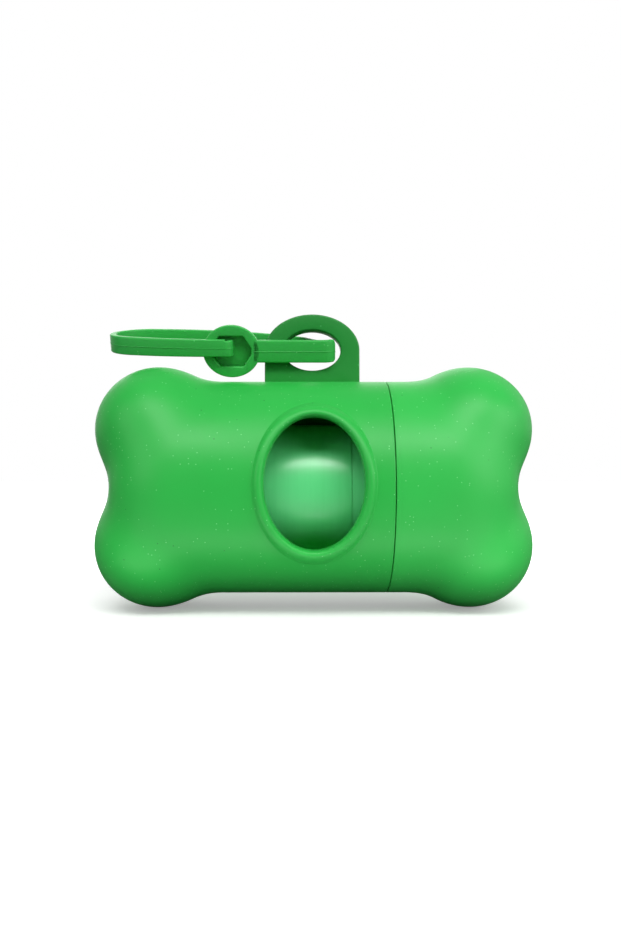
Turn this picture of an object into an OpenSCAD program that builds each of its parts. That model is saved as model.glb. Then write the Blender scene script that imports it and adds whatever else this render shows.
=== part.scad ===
// Bone-shaped holder for a roll of waste bags.
// The barrel's long axis is X. The cap end is +X, the window faces -Y and the lug points up.
// The two lower lobes stand on z = 0.

/* [Bone shell] */
// Length of the bone over the tips of its lobes
bone_len = 84.2; // [78:0.1:100]
// Outer diameter of the barrel
barrel_d = 41; // [38:0.5:46]
// Diameter of each oval lobe, seen from the front
lobe_d = 25; // [22:0.5:30]
// Depth of each lobe, front to back
lobe_deep = 34; // [26:0.5:38]
// Distance between the centres of the two lobes at one end
lobe_spacing = 21.6; // [18:0.2:26]
// How far the barrel's flat end stands back from the lobe tips
end_setback = 4.6; // [3:0.1:8]
// Rounding radius of the barrel's ends
end_round = 13; // [9:0.5:15]
// Wall thickness at the bone's ends
end_wall = 2.2; // [1.6:0.1:3]
// Wall thickness of the barrel, which the neck and the cap's skirt share
barrel_wall = 2.8; // [2.6:0.1:3.4]

/* [Cap joint] */
// Place of the seam, measured from the middle of the bone
seam_x = 13.7; // [8:0.1:18]
// Width of the visible gap at the seam
seam_gap = 0.15; // [0.05:0.05:0.4]
// Length of the neck that the cap slides over
neck_len = 9; // [6:0.5:11]
// Wall thickness of the neck
neck_wall = 1.1; // [0.9:0.05:1.3]
// Height of the gripping bead around the neck
bead_h = 0.2; // [0.1:0.05:0.3]
// Length of the gripping bead
bead_len = 1.6; // [1:0.1:2.5]
// Running clearance between the bead and the skirt, on radius
fit_gap = 0.06; // [0.03:0.01:0.1]
// Clearance between the end of the neck and the cap's step
neck_end_gap = 0.25; // [0.1:0.05:0.6]

/* [Window] */
// Width of the dispensing window
window_w = 17.3; // [12:0.1:20]
// Height of the dispensing window
window_h = 23.5; // [16:0.1:25]
// Height of the window's centre above the barrel's axis
window_up = 0.8; // [-2:0.1:2]
// Width of the window's rim at its sides
rim_side_w = 1.9; // [1.2:0.1:3]
// Width of the window's rim at its top and bottom, seen from the front
rim_end_w = 2.4; // [1.2:0.1:3]
// How far the rim stands proud of the barrel
rim_proud = 0.8; // [0.3:0.1:0.8]

/* [Lug] */
// Place of the lug's centre along the barrel
lug_x = -0.3; // [-3:0.1:3]
// Width of the lug
lug_w = 18.5; // [16:0.1:22]
// Thickness of the lug
lug_t = 3; // [2.4:0.1:3.6]
// Height of the centre of the lug's hole above the top of the barrel
lug_hole_up = 6.1; // [5.5:0.1:8]
// Width of the lug's hole
lug_hole_w = 11.1; // [10.6:0.1:12]
// Height of the lug's hole
lug_hole_h = 7.9; // [7.8:0.1:9]
// Wall above the lug's hole
lug_crown = 3.1; // [2:0.1:4]

/* [Strap] */
// Thickness of the strap
strap_t = 1.2; // [1:0.1:1.4]
// Width of the broad bar at the front of the strap
bar_w = 4.3; // [3.6:0.1:4.6]
// Width of the strap's narrow loop
strand_w = 3; // [2.4:0.1:3.2]
// Clearance between the lug's faces and the middle of the strap
lug_side_gap = 1.8; // [1.6:0.1:2.2]
// Tilt of the strap's plane, front edge down
strap_tilt = 18; // [10:1:20]
// Height of the strap's plane above the centre of the lug's hole
strap_up = 0.5; // [0.3:0.05:0.6]
// Place of the strap's turn through the hole, from the hole's centre
turn_x = 3.9; // [3.5:0.1:4]
// Radius of the strap's two tight bends in the hole, on its middle line
bend_r = 1.8; // [1.3:0.1:1.8]
// How far the narrow loop's middle line lies under the bar's inside the hole
hole_drop = 0.35; // [0.2:0.05:0.5]
// How far the narrow loop's middle line lies above the bar's behind the lug
flare_lift = 0.2; // [0:0.05:0.4]
// Radius of the outward bend behind the lug
flare_r = 6; // [4:0.5:8]
// Radius of the long back run of the loop
back_r = 40; // [30:1:41]
// Radius of the front run of the loop
front_r = 55; // [45:1:58]
// Place of the buckle eye's centre, from the hole's centre
eye_x = -15.5; // [-17:0.1:-15]
// Width of the buckle eye
eye_w = 11; // [10:0.1:12]
// Height of the buckle eye
eye_h = 10; // [9.4:0.1:10.2]
// Width of the slot in the eye
slot_w = 7.6; // [7:0.1:8]
// Height of the slot in the eye
slot_h = 5.8; // [5:0.1:6]
// Clearance between the strap's layers at the eye
layer_gap = 0.15; // [0.1:0.05:0.3]
// Width of the locking head behind the eye
head_w = 8.4; // [8:0.1:9]
// Height of the locking head behind the eye
head_h = 7.4; // [6.8:0.1:8]
// Distance from the eye's centre to the neck of the locking head
head_neck_back = 0.9; // [0.5:0.1:1.5]

/* [Bag roll] */
// Play between the full roll and the bore, on radius
roll_play = 1.7; // [0.6:0.05:3]
// Gap under the roll where it lies on the bore's floor
floor_gap = 0.25; // [0.1:0.05:0.4]
// End play of the roll against the rounded inside of the shell
roll_end_play = 0.1; // [0.05:0.05:1]
// Thickness of the leading bag's folded film
film_t = 0.25; // [0.1:0.05:0.5]
// Place of the leading bag's folded edge, from the middle of the bone
film_edge_x = 6.8; // [2:0.2:8]
// Outer diameter of the cardboard core
core_d = 16; // [12:0.5:20]
// Wall thickness of the cardboard core
core_wall = 1.3; // [0.8:0.1:2]
// How far the core stands out of the roll at each end
core_proud = 0.5; // [0:0.1:1]

/* [Hidden] */
$fn = 96;

barrel_r = barrel_d / 2;
lobe_r = lobe_d / 2;
lobe_up = lobe_spacing / 2;
lobe_x = bone_len / 2 - lobe_r;
body_half = bone_len / 2 - end_setback;
axis_z = lobe_up + lobe_r;

bore_r = barrel_r - barrel_wall;
neck_r = bore_r + neck_wall;
bead_r = neck_r + bead_h;
skirt_r = bead_r + fit_gap;
neck_end = seam_x + neck_len;
neck_chamfer = neck_wall / 3;

lug_hole_z = axis_z + barrel_r + lug_hole_up;
lug_rise = lug_hole_h / 2 + lug_crown;

// Plan of the strap: x from the hole's centre, y across the lug's plate, before the tilt.
bar_y = lug_t / 2 + lug_side_gap;
strand_front_y = bar_y + strap_t + layer_gap;
head_y = bar_y - strap_t - layer_gap;
bar_start_x = eye_x + eye_w / 2 - strap_t;
head_neck_x = eye_x - head_neck_back;
flare_turn = 38;
back_turn = 50;
front_turn = 20;
west = 180;
back_heading = west - flare_turn;
tip_heading = back_heading + back_turn;
front_heading = 2 * west - front_turn;
// The tip's radius closes the loop onto the front run.
tip_r = (bar_y + strand_front_y + flare_r * (cos(back_heading) - cos(west))
         + back_r * (cos(back_heading) - cos(tip_heading))
         - front_r * (1 - cos(front_turn)))
        / (cos(front_heading) - cos(tip_heading));
// The run along the eye's front face takes up what is left.
front_run_start_x = turn_x - bend_r
    - flare_r * (sin(back_heading) - sin(west))
    + back_r * (sin(tip_heading) - sin(back_heading))
    + tip_r * (sin(front_heading) - sin(tip_heading))
    + front_r * sin(front_turn);
front_run = max(0.1, head_neck_x + strap_t / 2 - front_run_start_x);
// The narrow loop's middle line against the bar's: flush tops, but lower in the hole.
strand_lift = (bar_w - strand_w) / 2;
hole_lift = -hole_drop;

roll_r = bore_r - roll_play;
roll_drop = roll_play - floor_gap;
end_corner_r = end_round - end_wall;
roll_reach = roll_r + roll_drop - (barrel_r - end_round);
roll_half = body_half - end_round - roll_end_play
            + sqrt(max(0, end_corner_r * end_corner_r - roll_reach * roll_reach));
roll_z = axis_z - roll_drop;
core_r = core_d / 2;

far = 2 * bone_len;
overlap = 1;

shell_green = [0.16, 0.62, 0.24];
strap_green = [0.12, 0.5, 0.2];
film_green = [0.47, 0.88, 0.58];
card_brown = [0.72, 0.6, 0.44];

function ellipse_points(w, h, steps = 64) =
    [for (i = [0 : steps - 1]) [w / 2 * cos(360 * i / steps), h / 2 * sin(360 * i / steps)]];

// A slot with its four corners cut on the slant.
function slot_points(w, h, cut_x, cut_y) = [
    [w / 2, cut_y - h / 2], [w / 2, h / 2 - cut_y], [w / 2 - cut_x, h / 2], [cut_x - w / 2, h / 2],
    [-w / 2, h / 2 - cut_y], [-w / 2, cut_y - h / 2], [cut_x - w / 2, -h / 2], [w / 2 - cut_x, -h / 2]];

// A point with its heading, moved along a leg: [straight length or bend radius, turn to the left].
function along(pose, leg, f) =
    let (size = leg[0], turn = leg[1], x = pose[0], y = pose[1], h = pose[2])
    turn == 0
        ? [x + size * f * cos(h), y + size * f * sin(h), h]
        : let (r = size * sign(turn), end = h + turn * f)
          [x + r * (sin(end) - sin(h)), y - r * (cos(end) - cos(h)), end];

function leg_start(legs, i, first) =
    i == 0 ? first : along(leg_start(legs, i - 1, first), legs[i - 1], 1);

function mix(a, b, f) = a + (b - a) * f;

// Each leg: length or radius, turn, steps, lift and width at its start, lift and width at its end.
strap_first = [bar_start_x, -bar_y, 0];
strap_legs = [
    [turn_x - bend_r - bar_start_x, 0, 1, 0, bar_w, 0, bar_w],
    [bend_r, 45, 3, 0, bar_w, 0, bar_w],
    [bend_r, 45, 3, 0, bar_w, hole_lift, strand_w],
    [2 * (bar_y - bend_r), 0, 1, hole_lift, strand_w, hole_lift, strand_w],
    [bend_r, 90, 6, hole_lift, strand_w, hole_lift, strand_w],
    [flare_r, -flare_turn, 5, hole_lift, strand_w, flare_lift, strand_w],
    [back_r, back_turn, 16, flare_lift, strand_w, strand_lift, strand_w],
    [tip_r, front_heading - tip_heading, 14, strand_lift, strand_w, strand_lift, strand_w],
    [front_r, front_turn, 8, strand_lift, strand_w, strand_lift, strand_w],
    [front_run, 0, 1, strand_lift, strand_w, strand_lift, strand_w]];

// The four corners of the strap's section at a fraction of a leg, from its bottom inner edge.
function section(pose, lift, w) =
    let (nx = -sin(pose[2]) * strap_t / 2, ny = cos(pose[2]) * strap_t / 2)
    [[pose[0] + nx, pose[1] + ny, lift - w / 2], [pose[0] - nx, pose[1] - ny, lift - w / 2],
     [pose[0] - nx, pose[1] - ny, lift + w / 2], [pose[0] + nx, pose[1] + ny, lift + w / 2]];

function leg_sections(legs, i, first) =
    let (leg = legs[i], start = leg_start(legs, i, first), from = i == 0 ? 0 : 1)
    [for (k = [from : leg[2]]) let (f = k / leg[2])
        section(along(start, leg, f), mix(leg[3], leg[5], f), mix(leg[4], leg[6], f))];

// A cylinder along X with rounded end edges.
module rounded_bar(r, half, round_r) {
    rotate([0, 90, 0])
        for (side = [0, 1]) mirror([0, 0, side])
            rotate_extrude()
                intersection() {
                    square([r, half]);
                    union() {
                        square([r, half - round_r]);
                        square([r - round_r, half]);
                        translate([r - round_r, half - round_r]) circle(round_r);
                    }
                }
}

module x_cylinder(r, x_from, x_to) {
    translate([x_from, 0, axis_z]) rotate([0, 90, 0]) cylinder(r = r, h = x_to - x_from);
}

// The bone's outer form, or its inner form when it is taken in by a wall.
module bone(inset) {
    translate([0, 0, axis_z]) {
        rounded_bar(barrel_r - inset, body_half - inset, end_round - inset);
        for (x = [-lobe_x, lobe_x], z = [-lobe_up, lobe_up])
            translate([x, 0, z])
                scale([1, (lobe_deep / 2 - inset) / (lobe_r - inset), 1])
                    sphere(lobe_r - inset);
    }
}

// The bone's inner form, as far as a straight core of the bore's size reaches.
module cavity() {
    intersection() {
        bone(end_wall);
        x_cylinder(bore_r, -far, far);
    }
}

module half_space(x_from, x_to) {
    translate([x_from, -far, -far]) cube([x_to - x_from, 2 * far, 2 * far]);
}

// An outline in the X-Z plane, given depth along Y.
module upright(points, y_from, y_to, x, z) {
    translate([x, y_to, z]) rotate([90, 0, 0]) linear_extrude(y_to - y_from) polygon(points);
}

module neck() {
    bead_x = neck_end - neck_len / 3;
    translate([0, 0, axis_z]) rotate([0, 90, 0])
        rotate_extrude()
            polygon([
                [bore_r - overlap, seam_x - overlap], [neck_r, seam_x - overlap],
                [neck_r, bead_x - bead_len / 2], [bead_r, bead_x - bead_len / 4],
                [bead_r, bead_x + bead_len / 4], [neck_r, bead_x + bead_len / 2],
                [neck_r, neck_end - neck_chamfer], [neck_r - neck_chamfer, neck_end],
                [bore_r - overlap, neck_end]]);
}

module lug_plate() {
    foot = lug_hole_z - axis_z - bore_r;
    difference() {
        union() {
            upright(ellipse_points(lug_w, 2 * lug_rise), -lug_t / 2, lug_t / 2, lug_x, lug_hole_z);
            translate([lug_x - lug_w / 2, -lug_t / 2, lug_hole_z - foot]) cube([lug_w, lug_t, foot]);
        }
        upright(ellipse_points(lug_hole_w, lug_hole_h), -lug_t, lug_t, lug_x, lug_hole_z);
    }
}

module window_rim() {
    intersection() {
        upright(ellipse_points(window_w + 2 * rim_side_w, window_h + 2 * rim_end_w),
                -far, 0, 0, axis_z + window_up);
        x_cylinder(barrel_r + rim_proud, -window_w, window_w);
    }
}

module barrel() {
    color(shell_green)
        difference() {
            union() {
                intersection() {
                    bone(0);
                    half_space(-far, seam_x);
                }
                neck();
                lug_plate();
                window_rim();
            }
            cavity();
            upright(ellipse_points(window_w, window_h), -far, 0, 0, axis_z + window_up);
        }
}

module end_cap() {
    color(shell_green)
        difference() {
            intersection() {
                bone(0);
                half_space(seam_x + seam_gap, far);
            }
            cavity();
            x_cylinder(skirt_r, 0, neck_end + neck_end_gap);
        }
}

module strap_loop() {
    rings = [for (i = [0 : len(strap_legs) - 1]) each leg_sections(strap_legs, i, strap_first)];
    last = len(rings) - 1;
    sides = [for (i = [0 : last - 1], j = [0 : 3])
        let (a = 4 * i + j, b = 4 * i + (j + 1) % 4) each [[a, b, a + 4], [b, b + 4, a + 4]]];
    ends = [[3, 2, 1, 0], [4 * last, 4 * last + 1, 4 * last + 2, 4 * last + 3]];
    polyhedron(points = [for (ring = rings) each ring], faces = concat(sides, ends));
}

module buckle_eye() {
    difference() {
        upright(ellipse_points(eye_w, eye_h, 48), -bar_y - strap_t / 2, -bar_y + strap_t / 2, eye_x, 0);
        upright(slot_points(slot_w, slot_h, slot_w / 5, slot_h * 0.4), -2 * bar_y, 0, eye_x, 0);
    }
}

module locking_head() {
    translate([head_neck_x - strap_t / 2, -strand_front_y - strap_t / 2, strand_lift - strand_w / 2])
        cube([strap_t, strand_front_y - head_y + strap_t, strand_w]);
    upright(ellipse_points(head_w, head_h, 48), -head_y - strap_t / 2, -head_y + strap_t / 2, eye_x, 0);
}

module strap() {
    color(strap_green)
        translate([lug_x, 0, lug_hole_z + strap_up])
            rotate([strap_tilt, 0, 0]) {
                strap_loop();
                buckle_eye();
                locking_head();
            }
}

module roll_tube(outer, inner, x_from, x_to) {
    translate([x_from, 0, roll_z])
        rotate([0, 90, 0])
            difference() {
                cylinder(r = outer, h = x_to - x_from);
                translate([0, 0, -overlap]) cylinder(r = inner, h = x_to - x_from + 2 * overlap);
            }
}

module roll_core() {
    color(card_brown) roll_tube(core_r, core_r - core_wall, -roll_half - core_proud, roll_half + core_proud);
}

module wound_bags() {
    color(film_green) roll_tube(roll_r - film_t, core_r, -roll_half, roll_half);
}

module leading_bag() {
    color(film_green) roll_tube(roll_r, roll_r - film_t, -roll_half, film_edge_x);
}

barrel();
end_cap();
strap();
roll_core();
wound_bags();
leading_bag();
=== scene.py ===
"""Looks for a bone-shaped case that holds and dispenses a roll of waste bags.

The case lies along X with its cap at +X, its window faces -Y and its lug points up.
Sizes in the classes are millimetres; meshes are made in metres.
"""

import logging
import math
from collections.abc import Callable
from dataclasses import dataclass, replace
from enum import Enum

import bmesh
import bpy
import numpy as np
from bpy.types import ID, Material, Node, NodeSocket, NodeTree, Object, World
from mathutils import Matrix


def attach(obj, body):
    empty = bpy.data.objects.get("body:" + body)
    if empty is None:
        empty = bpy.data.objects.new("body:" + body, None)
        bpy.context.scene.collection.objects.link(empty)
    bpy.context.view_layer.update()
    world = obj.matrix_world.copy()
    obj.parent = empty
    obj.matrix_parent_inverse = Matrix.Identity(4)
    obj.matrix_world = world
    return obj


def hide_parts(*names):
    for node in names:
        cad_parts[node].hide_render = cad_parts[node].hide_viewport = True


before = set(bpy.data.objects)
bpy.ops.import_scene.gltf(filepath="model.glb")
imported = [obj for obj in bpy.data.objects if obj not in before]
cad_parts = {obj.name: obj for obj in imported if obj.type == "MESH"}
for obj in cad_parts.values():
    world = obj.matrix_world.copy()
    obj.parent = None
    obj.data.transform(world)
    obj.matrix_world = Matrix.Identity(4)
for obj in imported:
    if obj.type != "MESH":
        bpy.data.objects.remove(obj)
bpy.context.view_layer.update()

Pair = tuple[float, float]
Place = tuple[float, float, float]
Colour = tuple[float, float, float]
Inputs = dict[str | int, object]

MM = 0.001
TINY = 1e-9

# In metres: points nearer than the first are one, and edges under the second are dropped
WELD = 2e-6
SLIVER = 1e-7

# Rings of points from the middle of a bone's end to its tip, outside and in the hollow
SKIN_RINGS = 90
HOLLOW_RINGS = 60

log = logging.getLogger("bag_case")


# ---------------------------------------------------------------- mesh making


def linked(name: str, data: ID) -> Object:
    """Make an object of its data at the origin and link it to the scene."""
    made = bpy.data.objects.new(name, data)
    bpy.context.scene.collection.objects.link(made)
    return made


def move_points(piece: Object, change: Callable[[np.ndarray], np.ndarray]) -> None:
    """Put the points of a piece's mesh, in metres, through a function."""
    mesh = piece.data
    flat = np.empty(len(mesh.vertices) * 3)
    mesh.vertices.foreach_get("co", flat)
    mesh.vertices.foreach_set("co", change(flat.reshape(-1, 3)).ravel())
    mesh.update()


def nearest(values: np.ndarray, aim: float) -> int:
    """Index of the value that lies nearest to an aim."""
    return int(np.argmin(np.abs(values - aim)))


def once_round(columns: int) -> np.ndarray:
    """Angles once round an axis along X, from the back; 0 is the front, 90 degrees the top."""
    return np.radians(np.arange(columns) * 360.0 / columns - 180.0)


def oval(middle: Pair, half_w: float, half_h: float, n: int) -> np.ndarray:
    """Points of an oval in the X-Z plane, of shape (n, 2), from +X upwards."""
    t = np.linspace(0, 2 * math.pi, n, endpoint=False)
    return np.stack([middle[0] + half_w * np.cos(t), middle[1] + half_h * np.sin(t)], axis=1)


def at_depth(xz: np.ndarray, y: float) -> np.ndarray:
    """Points of an outline in the X-Z plane, of shape (n, 3), at one place along Y."""
    return np.column_stack([xz[:, 0], np.full(len(xz), y), xz[:, 1]])


class Patchwork:
    """Grids of points that are gathered into one welded mesh."""

    def __init__(self) -> None:
        """Start with no points and no faces."""
        self.points: list[np.ndarray] = []
        self.faces: list[tuple[int, ...]] = []
        self.count = 0

    def grid(self, rows: np.ndarray, closed: bool = False,
             hole: tuple[int, int, int, int] = (0, 0, 0, 0)) -> None:
        """Add a grid of quads.

        Args:
            rows: Points of shape (rows, columns, 3), in millimetres.
            closed: Whether the last column joins the first.
            hole: First row, last row, first column and last column of a gap left in it.
        """
        m, n = rows.shape[:2]
        base, (r0, r1, c0, c1) = self.count, hole
        self.points.append(rows.reshape(-1, 3))
        self.count += m * n
        for i in range(m - 1):
            for j in range(n if closed else n - 1):
                if not (r0 <= i < r1 and c0 <= j < c1):
                    k = (j + 1) % n
                    self.faces.append((base + i * n + j, base + i * n + k,
                                       base + (i + 1) * n + k, base + (i + 1) * n + j))

    def fan(self, ring: np.ndarray, tip: Place) -> None:
        """Close a ring, of shape (columns, 3), with triangles that meet at its tip."""
        n, base = len(ring), self.count
        self.points.append(np.vstack([ring, np.array([tip])]))
        self.count += n + 1
        self.faces.extend((base + j, base + (j + 1) % n, base + n) for j in range(n))

    def dome(self, rings: np.ndarray, tip: Place) -> None:
        """Add closed rings, of shape (rings, columns, 3), that end in a tip."""
        self.grid(rings, closed=True)
        self.fan(rings[-1], tip)

    def build(self, name: str, crease_deg: float = 50.0) -> Object:
        """Weld the patches, turn every face outwards and make a smooth-shaded object.

        Args:
            name: Name of the object and of its mesh.
            crease_deg: Edges that turn more than this stay sharp.

        Returns:
            The new object, at the origin, linked to the scene.
        """
        mesh = bpy.data.meshes.new(name)
        mesh.from_pydata(np.vstack(self.points) * MM, [], self.faces)
        bm = bmesh.new()
        bm.from_mesh(mesh)
        bmesh.ops.remove_doubles(bm, verts=bm.verts, dist=WELD)
        bmesh.ops.dissolve_degenerate(bm, dist=SLIVER, edges=bm.edges)
        bmesh.ops.recalc_face_normals(bm, faces=bm.faces)
        bm.to_mesh(mesh)
        bm.free()
        mesh.shade_smooth()
        mesh.set_sharp_from_angle(angle=math.radians(crease_deg))
        return linked(name, mesh)


def rounded_section(width: float, depth: float, radius: float, steps: int = 5) -> np.ndarray:
    """Outline of a rounded rectangle, as fractions of its width and places in its depth.

    Args:
        width: Length of the section from its inner edge to its outer edge.
        depth: Thickness of the section.
        radius: Rounding radius of its corners.
        steps: Number of steps in each corner.

    Returns:
        Rows of (distance from the inner edge, distance from the back face), a closed loop.
    """
    corners = [(width - radius, radius, -90), (width - radius, depth - radius, 0),
               (radius, depth - radius, 90), (radius, radius, 180)]
    loop = []
    for x, y, start in corners:
        for k in range(steps + 1):
            a = math.radians(start + 90 * k / steps)
            loop.append((x + radius * math.cos(a), y + radius * math.sin(a)))
    return np.array(loop)


def plate_with_hole(outer: np.ndarray, inner: np.ndarray, ends: Pair,
                    radius: float) -> Patchwork:
    """An upright plate with one hole and rounded edges.

    Args:
        outer: Outline in the X-Z plane, of shape (columns, 2).
        inner: The hole's outline, with as many points, matched by index.
        ends: Places of its two faces along Y.
        radius: Rounding radius of all its edges.

    Returns:
        The plate as closed patches.
    """
    drawn = 10.0
    unit = (outer - inner) / np.linalg.norm(outer - inner, axis=1)[:, None]
    grid = []
    for s, d in rounded_section(drawn, ends[1] - ends[0], radius):
        xz = inner + unit * s if s < drawn / 2 else outer - unit * (drawn - s)
        grid.append(at_depth(xz, ends[0] + d))
    work = Patchwork()
    work.grid(np.array([*grid, grid[0]]), closed=True)
    return work


def lathe(profile: list[Pair], axis_z: float, angles: np.ndarray) -> np.ndarray:
    """Rings round an axis along X.

    Args:
        profile: Rows of (x, radius).
        axis_z: Height of the axis.
        angles: Angles round the axis, from -Y upwards, in radians.

    Returns:
        Points of shape (rings, angles, 3).
    """
    p = np.array(profile)
    x = np.repeat(p[:, :1], len(angles), axis=1)
    return np.stack([x, -p[:, 1:] * np.cos(angles), axis_z + p[:, 1:] * np.sin(angles)], axis=2)


# ---------------------------------------------------------------- the bone's form


@dataclass(frozen=True)
class BoneForm:
    """The bone as a blend of one rounded barrel and four oval lobes, in millimetres."""

    barrel_r: float = 20.46
    body_half: float = 37.5
    end_round: float = 13.0
    lobe_r: float = 12.5
    lobe_deep: float = 17.0
    lobe_x: float = 29.6
    lobe_up: float = 10.8
    shoulder_fillet: float = 8.0
    valley_fillet: float = 6.2
    axis_z: float = 23.3
    soften_deg: float = 3.5
    soften_from_deg: float = 78.0
    soften_over_deg: float = 20.0

    def inset(self, wall: float, end_round: float) -> "BoneForm":
        """The form taken in by a wall, with its own rounding at the barrel's ends."""
        return replace(self, barrel_r=self.barrel_r - wall, body_half=self.body_half - wall,
                       end_round=end_round, lobe_r=self.lobe_r - wall,
                       lobe_deep=self.lobe_deep - wall,
                       shoulder_fillet=self.shoulder_fillet + wall,
                       valley_fillet=self.valley_fillet + wall)

    def bar(self, p: np.ndarray) -> tuple[np.ndarray, np.ndarray]:
        """Signed distance and normal of the rounded barrel.

        Args:
            p: Points of shape (n, 3) about the bone's middle.

        Returns:
            Distances of shape (n,) and unit normals of shape (n, 3).
        """
        side = np.sign(p[:, 0])
        rho = np.hypot(p[:, 1], p[:, 2])
        qx = np.abs(p[:, 0]) - (self.body_half - self.end_round)
        qr = rho - (self.barrel_r - self.end_round)
        corner = np.hypot(np.maximum(qx, 0), np.maximum(qr, 0))
        d = corner + np.minimum(np.maximum(qx, qr), 0) - self.end_round
        both = (qx > 0) & (qr > 0)
        safe = np.where(corner > TINY, corner, 1)
        nx = np.where(both, qx / safe, (qx > qr).astype(float))
        nr = np.where(both, qr / safe, (qx <= qr).astype(float))
        rr = np.where(rho > TINY, rho, 1)
        return d, np.stack([nx * side, nr * p[:, 1] / rr, nr * p[:, 2] / rr], axis=1)

    def lobe(self, p: np.ndarray, up: float) -> tuple[np.ndarray, np.ndarray]:
        """Distance, near the skin, and normal of the lobes on one level, at both ends."""
        side = np.where(p[:, 0] < 0, -1.0, 1.0)
        v = p - np.stack([side * self.lobe_x, np.zeros(len(p)), np.full(len(p), up)], axis=1)
        squeeze = np.array([1.0, self.lobe_r / self.lobe_deep, 1.0])
        q = v * squeeze
        r = np.maximum(np.linalg.norm(q, axis=1), TINY)
        slope = q * squeeze / r[:, None]
        steep = np.maximum(np.linalg.norm(slope, axis=1), TINY)
        return (r - self.lobe_r) / steep, slope / steep[:, None]

    def blend(self, a: tuple[np.ndarray, np.ndarray], b: tuple[np.ndarray, np.ndarray],
              radius: float | np.ndarray) -> tuple[np.ndarray, np.ndarray]:
        """Join two forms with the fillet that a ball of the given radius leaves.

        Args:
            a: Distances and normals of one form.
            b: Distances and normals of the other form.
            radius: The rolling ball's radius.

        Returns:
            Distances and normals of the joined form.
        """
        u, v = radius - a[0], radius - b[0]
        c = np.sum(a[1] * b[1], axis=1)
        open_angle = 1 - c * c
        safe = np.where(open_angle > 1e-4, open_angle, 1)
        alpha, beta = (u - c * v) / safe, (v - c * u) / safe
        inside = (u > 0) & (v > 0) & (alpha > 0) & (beta > 0) & (open_angle > 1e-4)
        reach = np.sqrt(np.maximum(alpha * u + beta * v, 1e-12))
        nearer = a[0] < b[0]
        d = np.where(inside, radius - reach, np.minimum(a[0], b[0]))
        n = np.where(inside[:, None],
                     (alpha[:, None] * a[1] + beta[:, None] * b[1]) / reach[:, None],
                     np.where(nearer[:, None], a[1], b[1]))
        return d, n

    def distance(self, p: np.ndarray) -> np.ndarray:
        """Signed distance of points about the bone's middle to its skin."""
        lobes = self.blend(self.lobe(p, self.lobe_up), self.lobe(p, -self.lobe_up),
                           self.valley_fillet)
        return self.blend(self.bar(p), lobes, self.shoulder_fillet)[0]

    def softened(self, reach: np.ndarray, theta: np.ndarray) -> np.ndarray:
        """Blur the rays' lengths over their directions, so that no crease is left.

        Args:
            reach: Lengths of shape (rings, angles), the last ring at the pole.
            theta: Each ring's angle from the axis; the first ring, at 90 degrees, is kept.

        Returns:
            The blurred lengths.
        """
        spread = math.radians(self.soften_deg)
        waves = np.fft.rfft(reach, axis=1)
        turns = np.arange(waves.shape[1]) * spread
        fade = np.exp(-0.5 * (turns / np.maximum(np.sin(theta), 1e-6)[:, None]) ** 2)
        around = np.fft.irfft(waves * fade, n=reach.shape[1], axis=1)
        beyond = np.roll(around, reach.shape[1] // 2, axis=1)[-2::-1]
        step = theta[0] / (len(theta) - 1)
        n = math.ceil(3 * spread / step)
        strip = np.vstack([around[n:0:-1], around, beyond[:n]])
        weights = np.exp(-0.5 * (np.arange(-n, n + 1) * step / spread) ** 2)
        weights /= weights.sum()
        blurred = sum(w * strip[k:k + len(theta)] for k, w in enumerate(weights))
        share = np.clip((math.radians(self.soften_from_deg) - theta)
                        / math.radians(self.soften_over_deg), 0, 1)
        share = (share * share * (3 - 2 * share))[:, None]
        return reach * (1 - share) + blurred * share

    def end_skin(self, star_x: float, from_deg: float, steps: int, angles: np.ndarray,
                 core_r: float | None = None) -> tuple[np.ndarray, Place]:
        """Rings of the bone's skin from a section near the middle to one end.

        Args:
            star_x: Place on the axis that every ray starts from; its sign picks the end.
            from_deg: Angle of the first ring's rays from the axis.
            steps: Number of rings, without the tip.
            angles: Angles round the axis, in radians.
            core_r: Radius of a straight core that the skin keeps inside, if any.

        Returns:
            Points of shape (steps, angles, 3) and the end's tip.
        """
        side = 1.0 if star_x > 0 else -1.0
        theta = np.radians(from_deg) * np.linspace(1, 0, steps + 1)
        t, f = np.meshgrid(theta, angles, indexing="ij")
        ray = np.stack([side * np.cos(t), -np.sin(t) * np.cos(f), np.sin(t) * np.sin(f)], axis=2)
        ray = ray.reshape(-1, 3)
        start = np.array([star_x, 0.0, 0.0])
        farthest, halvings = 60.0, 34
        low, high = np.zeros(len(ray)), np.full(len(ray), farthest)
        for _ in range(halvings):
            mid = (low + high) / 2
            p = start + ray * mid[:, None]
            d = self.distance(p)
            if core_r is not None:
                d = np.maximum(d, np.hypot(p[:, 1], p[:, 2]) - core_r)
            low, high = np.where(d < 0, mid, low), np.where(d < 0, high, mid)
        if core_r is None:
            low = self.softened(low.reshape(t.shape), theta).ravel()
        p = start + ray * low[:, None] + np.array([0.0, 0.0, self.axis_z])
        rings = p.reshape(steps + 1, len(angles), 3)
        return rings[:-1], tuple(rings[-1, 0])


# ---------------------------------------------------------------- nodes


def fill(node: Node, inputs: Inputs) -> None:
    """Give a node's inputs plain values, or links from the sockets of other nodes."""
    for key, value in inputs.items():
        if isinstance(value, NodeSocket):
            node.id_data.links.new(value, node.inputs[key])
        else:
            node.inputs[key].default_value = value


def add_node(tree: NodeTree, kind: str, inputs: Inputs | None = None,
             **settings: object) -> Node:
    """Add a node to a tree.

    Args:
        tree: Tree that gets the node.
        kind: The node's type.
        inputs: Value or socket of each input that isn't left as it is.
        settings: The node's properties.

    Returns:
        The node.
    """
    made = tree.nodes.new(kind)
    for key, value in settings.items():
        setattr(made, key, value)
    fill(made, inputs or {})
    return made


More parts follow.
